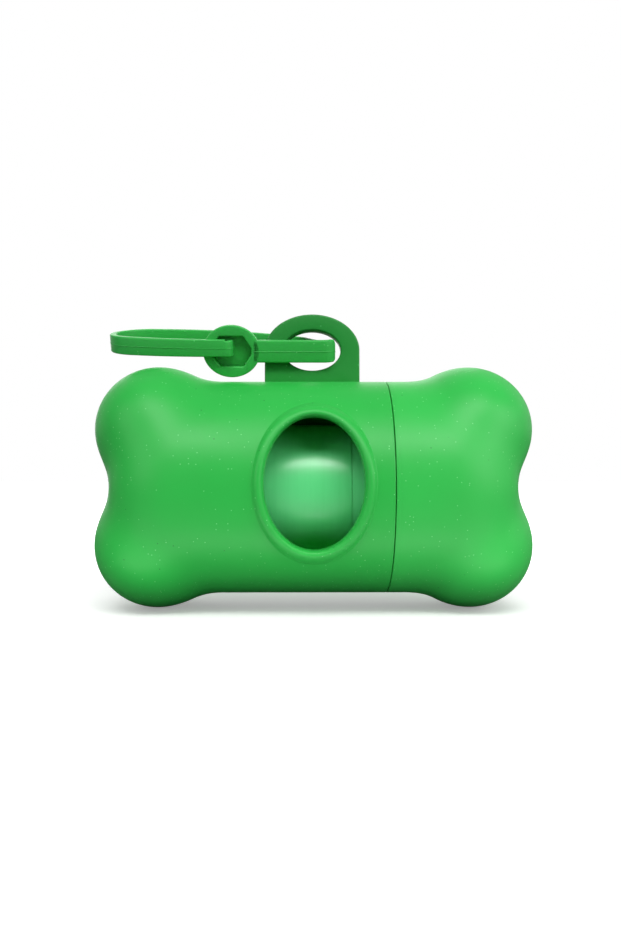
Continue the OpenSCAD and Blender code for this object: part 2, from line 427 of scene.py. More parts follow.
def math_node(tree: NodeTree, operation: str, a: object, b: object) -> NodeSocket:
    """Add a Math node on sockets or numbers, and return the result's socket."""
    return add_node(tree, "ShaderNodeMath", {0: a, 1: b}, operation=operation).outputs[0]


class ShapeTree:
    """A Geometry Nodes tree with named inputs, baked onto an object once."""

    def __init__(self, name: str, inputs: dict[str, float]) -> None:
        """Make the tree with its sockets.

        Args:
            name: Name of the tree.
            inputs: Name and value of each number; an int makes a whole number's socket.
        """
        self.tree = bpy.data.node_groups.new(name, "GeometryNodeTree")
        add = self.tree.interface.new_socket
        add("Geometry", in_out="INPUT", socket_type="NodeSocketGeometry")
        add("Geometry", in_out="OUTPUT", socket_type="NodeSocketGeometry")
        for key, value in inputs.items():
            kind = "NodeSocketInt" if isinstance(value, int) else "NodeSocketFloat"
            add(key, in_out="INPUT", socket_type=kind).default_value = value
        add("Finish", in_out="INPUT", socket_type="NodeSocketMaterial")
        self.put = self.node("NodeGroupInput").outputs

    def node(self, kind: str, inputs: Inputs | None = None, **settings: object) -> Node:
        """Add a node to the tree, as add_node does."""
        return add_node(self.tree, kind, inputs, **settings)

    def traced(self) -> NodeSocket:
        """The line of points that the tree is given, as a curve."""
        return self.node("GeometryNodeMeshToCurve", {"Mesh": self.put["Geometry"]}).outputs[0]

    def swept(self, line: NodeSocket, profile: NodeSocket) -> NodeSocket:
        """Sweep a closed profile along a line and cap its ends."""
        return self.node("GeometryNodeCurveToMesh", {"Curve": line, "Profile Curve": profile,
                                                     "Fill Caps": True}).outputs[0]

    def close(self, geometry: NodeSocket) -> None:
        """End the tree in realised, smooth, dressed geometry."""
        for kind in ("GeometryNodeRealizeInstances", "GeometryNodeSetShadeSmooth"):
            geometry = self.node(kind, {"Geometry": geometry}).outputs[0]
        dress = self.node("GeometryNodeSetMaterial", {"Geometry": geometry,
                                                      "Material": self.put["Finish"]})
        self.node("NodeGroupOutput", {"Geometry": dress.outputs[0]})

    def close_as_thread(self, line: NodeSocket, radius: str) -> None:
        """End the tree in a round thread along a line, with a named input as its radius."""
        ring = self.node("GeometryNodeCurvePrimitiveCircle",
                         {"Resolution": self.put["Sides"], "Radius": self.put[radius]},
                         mode="RADIUS")
        self.close(self.swept(line, ring.outputs[0]))

    def bake(self, base: Object, name: str, values: dict[str, object]) -> Object:
        """Run the tree on an object and keep the result as a plain mesh.

        Args:
            base: Object whose mesh goes in; it is removed.
            name: Name of the baked object.
            values: Value of each named input.

        Returns:
            The baked object, at the origin.
        """
        modifier = base.modifiers.new(self.tree.name, "NODES")
        modifier.node_group = self.tree
        for item in self.tree.interface.items_tree:
            if item.item_type == "SOCKET" and item.in_out == "INPUT" and item.name in values:
                modifier[item.identifier] = values[item.name]
        shown = base.evaluated_get(bpy.context.evaluated_depsgraph_get())
        mesh = bpy.data.meshes.new_from_object(shown)
        mesh.name = name
        mesh.set_sharp_from_angle(angle=math.radians(50))
        bpy.data.objects.remove(base)
        return linked(name, mesh)


def rail(name: str, points: np.ndarray,
         values: dict[str, np.ndarray] | None = None) -> Object:
    """An open line of points joined by edges, for a tree to sweep along.

    Args:
        name: Name of the object.
        points: Points of shape (n, 3), in millimetres.
        values: Named numbers at each point.

    Returns:
        The line as an object.
    """
    mesh = bpy.data.meshes.new(name)
    mesh.from_pydata(points * MM, [(i, i + 1) for i in range(len(points) - 1)], [])
    for key, row in (values or {}).items():
        mesh.attributes.new(key, "FLOAT", "POINT").data.foreach_set("value", row)
    return linked(name, mesh)


def band_tree() -> ShapeTree:
    """A flat band with rounded edges that follows a level line, as wide as the line says."""
    t = ShapeTree("moulded_band", {"Thickness": 0.0012, "Drawn Width": 0.004,
                                   "Edge Radius": 0.0003, "Edge Steps": 4})
    put = t.put
    level = t.node("GeometryNodeSetCurveNormal", {"Curve": t.traced()}, mode="Z_UP")
    section = t.node("GeometryNodeCurvePrimitiveQuadrilateral",
                     {"Width": put["Thickness"], "Height": put["Drawn Width"]})
    fillet = t.node("GeometryNodeFilletCurve",
                    {"Curve": section.outputs[0], "Radius": put["Edge Radius"],
                     "Count": put["Edge Steps"]}, mode="POLY")
    width, lift = (t.node("GeometryNodeInputNamedAttribute", {"Name": key},
                          data_type="FLOAT").outputs["Attribute"] for key in ("width", "lift"))
    place = t.node("GeometryNodeInputPosition")
    x, y, z = t.node("ShaderNodeSeparateXYZ", {0: place.outputs[0]}).outputs
    wide = math_node(t.tree, "DIVIDE", width, put["Drawn Width"])
    z = math_node(t.tree, "ADD", math_node(t.tree, "MULTIPLY", z, wide), lift)
    join = t.node("ShaderNodeCombineXYZ", {0: x, 1: y, 2: z})
    move = t.node("GeometryNodeSetPosition",
                  {"Geometry": t.swept(level.outputs[0], fillet.outputs[0]),
                   "Position": join.outputs[0]})
    t.close(move.outputs[0])
    return t


def ridge_tree() -> ShapeTree:
    """A fine raised line that follows a line, as a mould's parting line does."""
    t = ShapeTree("parting_line", {"Ridge Radius": 0.0001, "Sides": 6})
    t.close_as_thread(t.traced(), "Ridge Radius")
    return t


def winding_tree() -> ShapeTree:
    """The edges of wound film, or a helical seam, as one fine thread round an axis."""
    t = ShapeTree("film_winding", {"Turns": 20.0, "Inner Radius": 0.008, "Outer Radius": 0.016,
                                   "Length": 0.0, "Thread Radius": 0.0001,
                                   "Points per Turn": 48, "Sides": 6})
    coil = t.node("GeometryNodeCurveSpiral",
                  {"Resolution": t.put["Points per Turn"], "Rotations": t.put["Turns"],
                   "Start Radius": t.put["Inner Radius"], "End Radius": t.put["Outer Radius"],
                   "Height": t.put["Length"]})
    t.close_as_thread(coil.outputs[0], "Thread Radius")
    return t


# ---------------------------------------------------------------- finishes


def mixed(tree: NodeTree, factor: NodeSocket, a: object, b: object) -> NodeSocket:
    """Mix two colours, given as sockets or values: a at factor 0 and b at factor 1."""
    return add_node(tree, "ShaderNodeMix", {0: factor, 6: a, 7: b}, data_type="RGBA").outputs[2]


def ranged(tree: NodeTree, value: NodeSocket, low: float, high: float,
           to: tuple[object, object] = (0.0, 1.0), kind: str = "LINEAR") -> NodeSocket:
    """Spread a value over a new range.

    Args:
        tree: Tree that gets the node.
        value: Socket of the value.
        low: The value that gives the range's start.
        high: The value that gives the range's end.
        to: Start and end of the new range, as numbers or sockets.
        kind: How it runs from one to the other.

    Returns:
        Socket of the result.
    """
    return add_node(tree, "ShaderNodeMapRange",
                    {"Value": value, "From Min": low, "From Max": high, "To Min": to[0],
                     "To Max": to[1]}, interpolation_type=kind).outputs["Result"]


def noise(tree: NodeTree, place: NodeSocket, scale: object, **more: float) -> NodeSocket:
    """Add noise at a place and of a scale, and return its value's socket."""
    return add_node(tree, "ShaderNodeTexNoise",
                    {"Vector": place, "Scale": scale, **more}).outputs["Fac"]


def own_place(tree: NodeTree) -> NodeSocket:
    """Socket of the places in the piece's own frame."""
    return add_node(tree, "ShaderNodeTexCoord").outputs["Object"]


def bumped(tree: NodeTree, height: NodeSocket, strength: float, depth: float) -> NodeSocket:
    """Turn a height into normals of a given strength and depth."""
    return add_node(tree, "ShaderNodeBump", {"Height": height, "Strength": strength,
                                             "Distance": depth}).outputs["Normal"]


def new_material(name: str) -> tuple[Material, NodeTree]:
    """Make a material and return it with its node tree."""
    made = bpy.data.materials.new(name)
    made.use_nodes = True
    return made, made.node_tree


def shader_group(name: str, inputs: dict[str, object],
                 outputs: dict[str, str]) -> tuple[NodeTree, object, Node]:
    """Make a shader node group with named sockets.

    Args:
        name: Name of the group.
        inputs: Name and value of each input; a value of four numbers is a colour.
        outputs: Name and socket type of each output.

    Returns:
        The group's tree, the sockets of its inputs and its output node.
    """
    tree = bpy.data.node_groups.new(name, "ShaderNodeTree")
    for key, value in inputs.items():
        kind = "NodeSocketColor" if isinstance(value, tuple) else "NodeSocketFloat"
        tree.interface.new_socket(key, in_out="INPUT", socket_type=kind).default_value = value
    for key, kind in outputs.items():
        tree.interface.new_socket(key, in_out="OUTPUT", socket_type=kind)
    return tree, tree.nodes.new("NodeGroupInput").outputs, tree.nodes.new("NodeGroupOutput")


def grain_group() -> None:
    """Fine grain of a moulded or rolled surface: a height and an uneven gloss."""
    tree, put, out = shader_group(
        "surface_grain", {"Grain Scale": 900.0, "Sheen Scale": 60.0, "Low Gloss": 0.36,
                          "High Gloss": 0.24},
        {"Height": "NodeSocketFloat", "Roughness": "NodeSocketFloat"})
    place = own_place(tree)
    broad = noise(tree, place, put["Sheen Scale"], Detail=4.0)
    fill(out, {"Height": noise(tree, place, put["Grain Scale"], Detail=3.0),
               "Roughness": ranged(tree, broad, 0.3, 0.7, (put["High Gloss"],
                                                           put["Low Gloss"]))})


def tint_group() -> None:
    """Colour of a dyed plastic: soft clouding between two tints, and fine specks."""
    tree, put, out = shader_group(
        "dyed_tint", {"Tint": (0.05, 0.5, 0.08, 1.0), "Cloud": (0.05, 0.4, 0.08, 1.0),
                      "Pale Speck": (0.17, 0.68, 0.23, 1.0), "Dark Speck": (0.0, 0.1, 0.02, 1.0),
                      "Cloud Scale": 35.0, "Speck Scale": 1500.0, "Speck Share": 0.05},
        {"Color": "NodeSocketColor"})
    place, speck_radius, dark_share = own_place(tree), 0.15, 0.04
    clouds = noise(tree, place, put["Cloud Scale"], Detail=6.0, Roughness=0.72)
    colour = mixed(tree, ranged(tree, clouds, 0.35, 0.72), put["Tint"], put["Cloud"])
    cells = add_node(tree, "ShaderNodeTexVoronoi", {"Vector": place, "Scale": put["Speck Scale"]})
    chance = add_node(tree, "ShaderNodeSeparateColor", {0: cells.outputs["Color"]}).outputs
    dot = math_node(tree, "LESS_THAN", cells.outputs["Distance"], speck_radius)
    rare = math_node(tree, "MULTIPLY", put["Speck Share"], dark_share)
    for drawn, share, speck in ((chance[0], put["Speck Share"], "Pale Speck"),
                                (chance[1], rare, "Dark Speck")):
        chosen = math_node(tree, "LESS_THAN", drawn, share)
        colour = mixed(tree, math_node(tree, "MULTIPLY", dot, chosen), colour, put[speck])
    fill(out, {"Color": colour})


@dataclass(frozen=True)
class DyedPlastic:
    """A dyed plastic or rubber with grain, clouding and specks."""

    name: str
    tint: Colour
    cloud: Colour
    gloss: Pair = (0.38, 0.48)
    grain_scale: float = 900.0
    grain_depth: float = 0.02
    grain_height: float = 0.5 * MM
    speck_share: float = 0.22
    specular: float = 0.35
    translucence: float = 0.0

    def material(self) -> Material:
        """Build the material from the shared groups."""
        made, tree = new_material(self.name)
        tint = add_node(tree, "ShaderNodeGroup",
                        {"Tint": (*self.tint, 1.0), "Cloud": (*self.cloud, 1.0),
                         "Speck Share": self.speck_share},
                        node_tree=bpy.data.node_groups["dyed_tint"])
        grain = add_node(tree, "ShaderNodeGroup",
                         {"Grain Scale": self.grain_scale, "High Gloss": self.gloss[0],
                          "Low Gloss": self.gloss[1]},
                         node_tree=bpy.data.node_groups["surface_grain"])
        shader = tree.nodes["Principled BSDF"]
        fill(shader, {"Base Color": tint.outputs["Color"],
                      "Roughness": grain.outputs["Roughness"],
                      "Normal": bumped(tree, grain.outputs["Height"], self.grain_depth,
                                       self.grain_height),
                      "Specular IOR Level": self.specular})
        if self.translucence:
            fill(shader, {"Subsurface Weight": self.translucence,
                          "Subsurface Radius": (0.2, 1.0, 0.3), "Subsurface Scale": MM})
        return made


@dataclass(frozen=True)
class BagFilm:
    """Thin glossy film with drawn streaks round the roll."""

    name: str
    tint: Colour
    cloud: Colour
    gloss: Pair = (0.3, 0.42)
    coat: Pair = (0.8, 0.27)
    streak_scale: float = 260.0
    streak_stretch: float = 0.06
    streak_depth: float = 0.3
    streak_height: float = 0.3 * MM

    def material(self) -> Material:
        """Build the material: streaks lie round the axis, so they vary along X."""
        made, tree = new_material(self.name)
        stretch = add_node(tree, "ShaderNodeMapping",
                           {"Vector": own_place(tree),
                            "Scale": (1.0, self.streak_stretch, self.streak_stretch)})
        streak = noise(tree, stretch.outputs[0], self.streak_scale, Detail=4.0)
        grain = add_node(tree, "ShaderNodeGroup",
                         {"High Gloss": self.gloss[0], "Low Gloss": self.gloss[1]},
                         node_tree=bpy.data.node_groups["surface_grain"])
        fill(tree.nodes["Principled BSDF"],
             {"Base Color": mixed(tree, ranged(tree, streak, 0.3, 0.7), (*self.tint, 1.0),
                                  (*self.cloud, 1.0)),
              "Roughness": grain.outputs["Roughness"],
              "Normal": bumped(tree, streak, self.streak_depth, self.streak_height),
              "Coat Weight": self.coat[0], "Coat Roughness": self.coat[1]})
        return made


@dataclass(frozen=True)
class PressedCard:
    """Pressed grey-brown card with tangled fibres."""

    name: str
    tint: Colour = (0.5, 0.36, 0.22)
    fibre: Colour = (0.36, 0.25, 0.15)
    fibre_scale: float = 1400.0
    fibre_depth: float = 0.35
    fibre_height: float = 0.3 * MM
    roughness: float = 0.85

    def material(self) -> Material:
        """Build the material from tangled noise."""
        made, tree = new_material(self.name)
        fibres = noise(tree, own_place(tree), self.fibre_scale, Detail=6.0, Distortion=1.5)
        fill(tree.nodes["Principled BSDF"],
             {"Base Color": mixed(tree, fibres, (*self.tint, 1.0), (*self.fibre, 1.0)),
              "Normal": bumped(tree, fibres, self.fibre_depth, self.fibre_height),
              "Roughness": self.roughness})
        return made


class Finish(Enum):
    """The finishes of the case, one for each kind of surface; the cap's green carries painted
    light, the lug's painted shade.
    """

    SHELL = DyedPlastic("green_shell", (0.024, 0.47, 0.064), (0.026, 0.44, 0.062))
    # The cap's green is the shell's made lighter: painted light for the brighter light on the
    # cap's end.
    CAP_PAINTED_LIGHT = DyedPlastic("green_cap_painted_light", (0.033, 0.52, 0.078), (0.035, 0.49, 0.075))
    # The lug's green is the shell's at about half the brightness: painted shade for the shade
    # under the strap.
    LUG_PAINTED_SHADE = DyedPlastic("green_lug_painted_shade", (0.012, 0.25, 0.032), (0.012, 0.23, 0.03), speck_share=0.08)
    STRAP = DyedPlastic("green_strap", (0.036, 0.46, 0.075), (0.034, 0.42, 0.068),
                        gloss=(0.34, 0.48), grain_scale=1300.0, grain_depth=0.03, speck_share=0.08,
                        translucence=0.15)
    FILM = BagFilm("mint_film", (0.15, 0.86, 0.31), (0.1, 0.76, 0.23))
    CARD = PressedCard("grey_card")

    def material(self) -> Material:
        """The material of this finish, made once."""
        return bpy.data.materials.get(self.value.name) or self.value.material()


def settle(pieces: tuple[Object, ...], finish: Finish, body: str) -> None:
    """Dress pieces, let them ride on a body and report them.

    Args:
        pieces: The finished meshes.
        finish: The finish that they get, in place of any other.
        body: The body that they move with.
    """
    for piece in pieces:
        piece.data.materials.clear()
        piece.data.materials.append(finish.material())
        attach(piece, body)
        log.info("%s: %d faces, rides on %s", piece.name, len(piece.data.polygons), body)


# ---------------------------------------------------------------- the case


@dataclass
class Barrel:
    """The case's main part: half the bone, the window with its rim, the neck and the lug.

    A lip is a rounded edge, as rows of (distance from the end, distance below the surface).
    """

    bone: BoneForm = BoneForm()
    seam_x: float = 13.7
    bore_r: float = 17.7
    wall_end: float = 2.2
    inner_round: float = 10.8
    neck_r: float = 18.8
    neck_end: float = 22.7
    bead_h: float = 0.2
    bead_len: float = 1.6
    bead_back: float = 3.0
    seam_lip: tuple[Pair, ...] = ((0.12, 0.0), (0.03, 0.04), (0.0, 0.14))
    neck_lip: tuple[Pair, ...] = ((0.4, 0.0), (0.1, 0.15), (0.0, 0.4))
    foot_edge: float = 0.1
    bore_edge: float = 0.2
    window_w: float = 17.3
    window_h: float = 23.5
    window_up: float = 0.8
    rim_side_w: float = 1.9
    rim_end_w: float = 2.4
    rim_reach: float = 1.12
    columns: int = 216
    lug_x: float = -0.3
    lug_w: float = 18.5
    lug_t: float = 3.0
    lug_hole_z: float = 49.9
    lug_hole_w: float = 11.1
    lug_hole_h: float = 7.9
    lug_rise: float = 7.05
    lug_edge: float = 0.35
    lug_sunk: float = 1.0
    lug_points: int = 160
    line_r: float = 0.06
    line_sunk: float = 0.07
    line_foot: float = 0.3
    skin_from: float = 13.0
    hollow_from: float = 18.0
    patch_margin: float = 2.4
    patch_deg: Pair = (-50.0, 56.0)
    patch_columns: int = 41
    patch_rows: int = 6

    def angles(self) -> np.ndarray:
        """Angles round the barrel's axis."""
        return once_round(self.columns)

    def hollow_end(self, star_x: float, from_deg: float) -> tuple[np.ndarray, Place]:
        """Rings and tip of a bone end's hollow, whose rays start from a place on the axis."""
        hollow = self.bone.inset(self.wall_end, self.inner_round)
        return hollow.end_skin(star_x, from_deg, HOLLOW_RINGS, self.angles(), self.bore_r)

    def window_ring(self, spread: float, radius: float, t: np.ndarray) -> np.ndarray:
        """A ring round the window, on a cylinder about the barrel's axis.

        Args:
            spread: Place between the window's edge, 0, and the rim's outer edge, 1.
            radius: Radius of the cylinder.
            t: Angles round the window.

        Returns:
            Points of shape (angles, 3).
        """
        a = self.window_w / 2 + spread * self.rim_side_w
        b = self.window_h / 2 + spread * self.rim_end_w
        x, z = a * np.cos(t), self.window_up + b * np.sin(t)
        return np.stack([x, -np.sqrt(radius ** 2 - z ** 2), self.bone.axis_z + z], axis=1)

    def holed_tube(self, work: Patchwork, radius: float, ends: Pair,
                   side_rings: tuple[int, int], spread: float,
                   t: np.ndarray | None = None) -> np.ndarray:
        """A tube along X with a hole that is closed in to a ring round the window.

        Args:
            work: Patches that get the tube.
            radius: Radius of the tube.
            ends: Places of its first and last ring.
            side_rings: Number of rings left and right of the hole's patch.
            spread: Place of the ring that the hole is closed in to.
            t: Angles round the window, or None to work them out from the hole's edge.

        Returns:
            The angles round the window.
        """
        half = self.window_w / 2 + self.rim_side_w + self.patch_margin
        xs = np.concatenate([np.linspace(ends[0], -half, side_rings[0])[:-1],
                             np.linspace(-half, half, self.patch_columns),
                             np.linspace(half, ends[1], side_rings[1])[1:]])
        angles, axis_z = self.angles(), self.bone.axis_z
        r0, r1 = nearest(xs, -half), nearest(xs, half)
        c0, c1 = (nearest(np.degrees(angles), deg) for deg in self.patch_deg)
        work.grid(lathe([(x, radius) for x in xs], axis_z, angles), True, (r0, r1, c0, c1))
        edge = [(r0, c) for c in range(c0, c1)] + [(r, c1) for r in range(r0, r1)]
        edge += [(r1, c) for c in range(c1, c0, -1)] + [(r, c0) for r in range(r1, r0, -1)]
        ex, ef = xs[[r for r, _ in edge]], angles[[c for _, c in edge]]
        if t is None:
            up = self.bone.barrel_r * np.sin(ef) - self.window_up
            t = np.arctan2(up / (self.window_h / 2 + self.rim_end_w),
                           ex / (self.window_w / 2 + self.rim_side_w))
        ring = self.window_ring(spread, radius, t)
        rf = np.arcsin((ring[:, 2] - axis_z) / radius)
        rows = []
        for k in range(self.patch_rows + 1):
            f = k / self.patch_rows
            x, a = ex + (ring[:, 0] - ex) * f, ef + (rf - ef) * f
            rows.append(np.stack([x, -radius * np.cos(a), axis_z + radius * np.sin(a)], axis=1))
        work.grid(np.array(rows), closed=True)
        return t

    def shell(self) -> Object:
        """The moulded shell with its window, hollow inside, and the neck for the cap."""
        outer, seam, neck, work = self.bone.barrel_r, self.seam_x, self.neck_r, Patchwork()
        work.dome(*self.bone.end_skin(-self.skin_from, 90.0, SKIN_RINGS, self.angles()))
        lip = [(seam - back, outer - down) for back, down in self.seam_lip]
        t = self.holed_tube(work, outer, (-self.skin_from, lip[0][0]), (6, 6), self.rim_reach)
        profile = [(self.rim_reach, 0.0), (1.08, 0.0), (1.04, 0.02), (1.0, 0.07), (0.95, 0.18),
                   (0.88, 0.36), (0.79, 0.54), (0.69, 0.67), (0.58, 0.75), (0.47, 0.78),
                   (0.36, 0.76), (0.26, 0.67), (0.17, 0.52), (0.09, 0.31), (0.03, 0.05),
                   (0.0, -0.28), (0.0, -1.2), (0.0, self.bore_r - outer)]
        work.grid(np.array([self.window_ring(s, outer + h, t) for s, h in profile]), closed=True)
        bead_x, inner_end = self.neck_end - self.bead_back, self.neck_end - self.bore_edge
        bead = ((-0.5, 0.0), (-0.25, 0.9), (0.0, 1.0), (0.25, 0.9), (0.5, 0.0))
        mouth = [*lip, (seam, neck + self.foot_edge), (seam + self.foot_edge, neck)]
        mouth += [(bead_x + self.bead_len * f, neck + self.bead_h * h) for f, h in bead]
        mouth += [(self.neck_end - back, neck - down) for back, down in self.neck_lip]
        mouth += [(self.neck_end, self.bore_r + self.bore_edge), (inner_end, self.bore_r)]
        work.grid(lathe(mouth, self.bone.axis_z, self.angles()), closed=True)
        self.holed_tube(work, self.bore_r, (-self.hollow_from, inner_end), (14, 22), 0.0, t)
        work.dome(*self.hollow_end(-self.hollow_from, 90.0))
        return work.build("case_shell", 38.0)

    def lug_outline(self, margin: float = 0.0) -> np.ndarray:
        """Outline of the lug: an arch on two straight sides that end inside the wall.

        Args:
            margin: How far the outline stands out.

        Returns:
            Points of shape (n, 2) in the X-Z plane, from +X upwards.
        """
        a, b = self.lug_w / 2 + margin, self.lug_rise + margin
        foot = self.lug_hole_z - (self.bone.axis_z + self.bore_r + self.lug_sunk)
        rows = []
        for c, s in oval((0.0, 0.0), 1.0, 1.0, self.lug_points):
            k = min(a / max(abs(c), TINY), foot / max(abs(s), TINY))
            rows.append((a * c, b * s) if s >= 0 else (k * c, k * s))
        return np.array(rows) + np.array([self.lug_x, self.lug_hole_z])

    def lug(self) -> Object:
        """The lug's plate with its oval hole and rounded edges."""
        hole = oval((self.lug_x, self.lug_hole_z), self.lug_hole_w / 2, self.lug_hole_h / 2,
                    self.lug_points)
        return plate_with_hole(self.lug_outline(), hole, (-self.lug_t / 2, self.lug_t / 2),
                               self.lug_edge).build("strap_lug")

    def lug_parting(self, ridge: ShapeTree) -> Object:
        """The mould's parting line over the lug's crown, sunk nearly level with it."""
        outline, top = self.lug_outline(-self.line_sunk), self.bone.axis_z + self.bone.barrel_r
        keep = outline[outline[:, 1] > top - self.line_foot]
        order = np.argsort(-np.arctan2(keep[:, 0] - self.lug_x, keep[:, 1] - self.lug_hole_z))
        return ridge.bake(rail("lug_line", at_depth(keep[order], 0.0)), "lug_parting_line",
                          {"Ridge Radius": self.line_r * MM, "Sides": 6,
                           "Finish": Finish.LUG_PAINTED_SHADE.material()})

    def build(self, ridge: ShapeTree) -> None:
        """Make, dress and place the barrel's pieces."""
        shell = self.shell()
        settle((shell,), Finish.SHELL, "barrel")
        # The lug and its parting line take the lug's green with painted shade.
        settle((self.lug(), self.lug_parting(ridge)), Finish.LUG_PAINTED_SHADE, "barrel")
        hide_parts("barrel")


@dataclass
class EndCap:
    """The cap that slides over the neck and carries the other end of the bone."""

    barrel: Barrel
    mouth_x: float = 13.85
    mouth_lip: tuple[Pair, ...] = ((0.14, 0.0), (0.04, 0.04), (0.0, 0.14))
    mouth_edge: float = 0.25
    skirt_r: float = 19.06
    skirt_end: float = 22.95
    skin_from: float = 15.0
    hollow_from: float = 19.0

    def shell(self) -> Object:
        """The cap's shell: bone end outside, skirt, step and rounded hollow inside."""
        bone, angles, bore_r = self.barrel.bone, self.barrel.angles(), self.barrel.bore_r
        outer, mouth_x, work = bone.barrel_r, self.mouth_x, Patchwork()
        work.dome(*bone.end_skin(self.skin_from, 90.0, SKIN_RINGS, angles))
        mouth = [(self.skin_from, outer)]
        mouth += [(mouth_x + back, outer - down) for back, down in self.mouth_lip]
        mouth += [(mouth_x, self.skirt_r + self.mouth_edge),
                  (mouth_x + self.mouth_edge, self.skirt_r),
                  (self.skirt_end, self.skirt_r), (self.skirt_end, bore_r)]
        work.grid(lathe(mouth, bone.axis_z, angles), closed=True)
        first = math.degrees(math.atan2(bore_r, self.skirt_end - self.hollow_from))
        work.dome(*self.barrel.hollow_end(self.hollow_from, first))
        return work.build("cap_shell", 38.0)

    def build(self) -> None:
        """Make, dress and place the cap."""
        shell = self.shell()
        # The cap takes the shell's green with painted light.
        settle((shell,), Finish.CAP_PAINTED_LIGHT, "end_cap")
        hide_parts("end_cap")


@dataclass(frozen=True)
class Leg:
    """One leg of the strap's plan: its size and turn, and its lift and width at both ends."""

    size: float
    turn: float
    steps: int
    lift: Pair
    width: Pair


@dataclass
class Strap:
    """The strap: a band that loops through the lug and buttons into its own eye."""

    lug_x: float = -0.3
    plane_z: float = 50.4
    tilt_deg: float = 18.0
    strap_t: float = 1.2
    bar_w: float = 4.3
    strand_w: float = 3.0
    loop_w: float = 3.5
    bar_y: float = 3.3
    strand_front_y: float = 4.65
    head_y: float = 1.95
    turn_x: float = 3.9
    bend_r: float = 1.8
    flare_r: float = 6.0
    back_r: float = 40.0
    front_r: float = 55.0
    bar_turn: float = 64.0
    flare_turn: float = 38.0
    back_turn: float = 50.0
    front_turn: float = 20.0
    hole_lift: float = -0.35
    flare_lift: float = 0.2
    strand_lift: float = 0.65
    loop_lift: float = 0.75
    eye_x: float = -15.5
    eye_w: float = 11.0
    eye_h: float = 10.0
    slot_w: float = 7.6
    slot_h: float = 5.8
    slot_cut_x: float = 1.52
    slot_cut_y: float = 2.32
    head_w: float = 8.4
    head_h: float = 7.4
    head_neck_x: float = -16.4
    neck_bend_r: float = 0.8
    head_flat: float = 0.6
    edge_r: float = 0.28
    drawn_w: float = 3.6
    line_r: float = 0.09
    line_sunk: float = 0.02

    def legs(self) -> list[Leg]:
        """The strap's plan from the eye through the hole, round the loop and back."""
        bar_start = self.eye_x + self.eye_w / 2 - self.strap_t
        back_heading = math.radians(180 - self.flare_turn)
        tip_heading = back_heading + math.radians(self.back_turn)
        front_heading = math.radians(360 - self.front_turn)
        front = math.radians(self.front_turn)
        tip_r = (self.bar_y + self.strand_front_y + self.flare_r * (math.cos(back_heading) + 1)
                 + self.back_r * (math.cos(back_heading) - math.cos(tip_heading))
                 - self.front_r * (1 - math.cos(front))) / (math.cos(front_heading)
                                                            - math.cos(tip_heading))
        run_start = (self.turn_x - self.bend_r - self.flare_r * math.sin(back_heading)
                     + self.back_r * (math.sin(tip_heading) - math.sin(back_heading))
                     + tip_r * (math.sin(front_heading) - math.sin(tip_heading))
                     + self.front_r * math.sin(front))
        run = max(0.1, self.head_neck_x - self.neck_bend_r - run_start)
        into_head = self.strand_front_y - self.neck_bend_r - self.head_y
        bar, thin, wide = self.bar_w, self.strand_w, self.loop_w
        hole, flare, loop = self.hole_lift, self.flare_lift, self.strand_lift
        top, slim = self.loop_lift, (thin + wide) / 2
        level = loop + (slim - thin) / 2
        return [
            Leg(self.turn_x - self.bend_r - bar_start, 0, 12, (0, 0), (bar, bar)),
            Leg(self.bend_r, self.bar_turn, 10, (0, 0), (bar, bar)),
            Leg(self.bend_r, 90 - self.bar_turn, 6, (0, hole), (bar, thin)),
            Leg(2 * (self.bar_y - self.bend_r), 0, 4, (hole, hole), (thin, thin)),
            Leg(self.bend_r, 90, 14, (hole, hole), (thin, thin)),
            Leg(self.flare_r, -self.flare_turn, 12, (hole, flare), (thin, thin)),
            Leg(self.back_r, self.back_turn, 40, (flare, top), (thin, wide)),
            Leg(tip_r, math.degrees(front_heading - tip_heading), 40, (top, top), (wide, wide)),
            Leg(self.front_r, self.front_turn, 20, (top, level), (wide, slim)),
            Leg(run, 0, 8, (level, loop), (slim, thin)),
            Leg(self.neck_bend_r, 90, 10, (loop, loop), (thin, thin)),
            Leg(into_head, 0, 2, (loop, loop), (thin, thin))]

    def walk(self) -> tuple[np.ndarray, np.ndarray, np.ndarray]:
        """Follow the plan's legs.

        Returns:
            Points of shape (n, 2), headings in radians, and rows of (lift, width).
        """
        x, y, heading = self.eye_x + self.eye_w / 2 - self.strap_t, -self.bar_y, 0.0
        points, headings, sizes = [(x, y)], [heading], [(0.0, self.bar_w)]
        for leg in self.legs():
            start = (x, y, heading)
            for k in range(1, leg.steps + 1):
                f = k / leg.steps
                if leg.turn == 0:
                    x = start[0] + leg.size * f * math.cos(start[2])
                    y = start[1] + leg.size * f * math.sin(start[2])
                else:
                    r = leg.size * math.copysign(1, leg.turn)
                    heading = start[2] + math.radians(leg.turn) * f
                    x = start[0] + r * (math.sin(heading) - math.sin(start[2]))
                    y = start[1] - r * (math.cos(heading) - math.cos(start[2]))
                points.append((x, y))
                headings.append(heading)
                sizes.append((leg.lift[0] + (leg.lift[1] - leg.lift[0]) * f,
                              leg.width[0] + (leg.width[1] - leg.width[0]) * f))
        return np.array(points), np.array(headings), np.array(sizes)

    def tilted(self, p: np.ndarray) -> np.ndarray:
        """Turn points, in metres, from the strap's own plane to their place on the lug."""
        c, s = math.cos(math.radians(self.tilt_deg)), math.sin(math.radians(self.tilt_deg))
        y, z = p[:, 1] * c - p[:, 2] * s, p[:, 1] * s + p[:, 2] * c
        return np.stack([p[:, 0] + self.lug_x * MM, y, z + self.plane_z * MM], axis=1)

